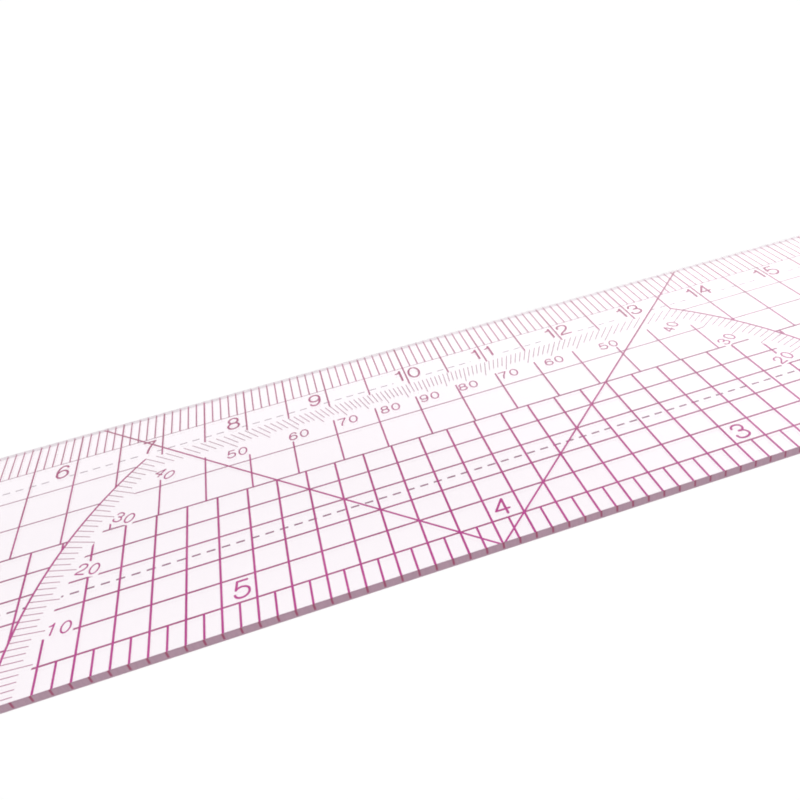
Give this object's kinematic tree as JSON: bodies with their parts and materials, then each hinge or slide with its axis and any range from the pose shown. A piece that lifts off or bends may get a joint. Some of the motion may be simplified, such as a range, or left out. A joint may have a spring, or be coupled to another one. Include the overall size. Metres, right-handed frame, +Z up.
{
  "type": "quilting ruler",
  "caption": "Flat clear see-through ruler: one long edge ruled in inches, the other in centimetres, with a printed grid, bias lines and a half-round protractor.",
  "frame": {"origin": "middle of the underside of the blade", "axes": "+X along the blade towards the inch zero, +Y from the inch edge to the centimetre edge, +Z up out of the printed face"},
  "size_m": [0.2032, 0.039, 0.001],
  "materials": {
    "clear_sheet": "clear gloss",
    "magenta_ink": "translucent screen ink",
    "mauve_ink": "translucent screen ink"
  },
  "bodies": {
    "root": {"base_sheet": "clear_sheet", "cover_sheet": "clear_sheet", "inch_grid_rows": "mauve_ink", "centimetre_grid_rows": "mauve_ink", "divider_line": "mauve_ink", "inch_seam_line": "mauve_ink", "centimetre_seam_line": "mauve_ink", "inch_grid_columns": "magenta_ink", "inch_sixteenth_ticks": "magenta_ink", "inch_numbers": "magenta_ink", "centimetre_grid_columns": "magenta_ink", "millimetre_ticks": "magenta_ink", "centimetre_numbers": "magenta_ink", "degree_ticks": "mauve_ink", "long_degree_ticks": "mauve_ink", "degree_numbers": "magenta_ink", "protractor_outline": "magenta_ink", "bias_line_left": "magenta_ink", "bias_line_right": "magenta_ink"}
  },
  "joints": []
}
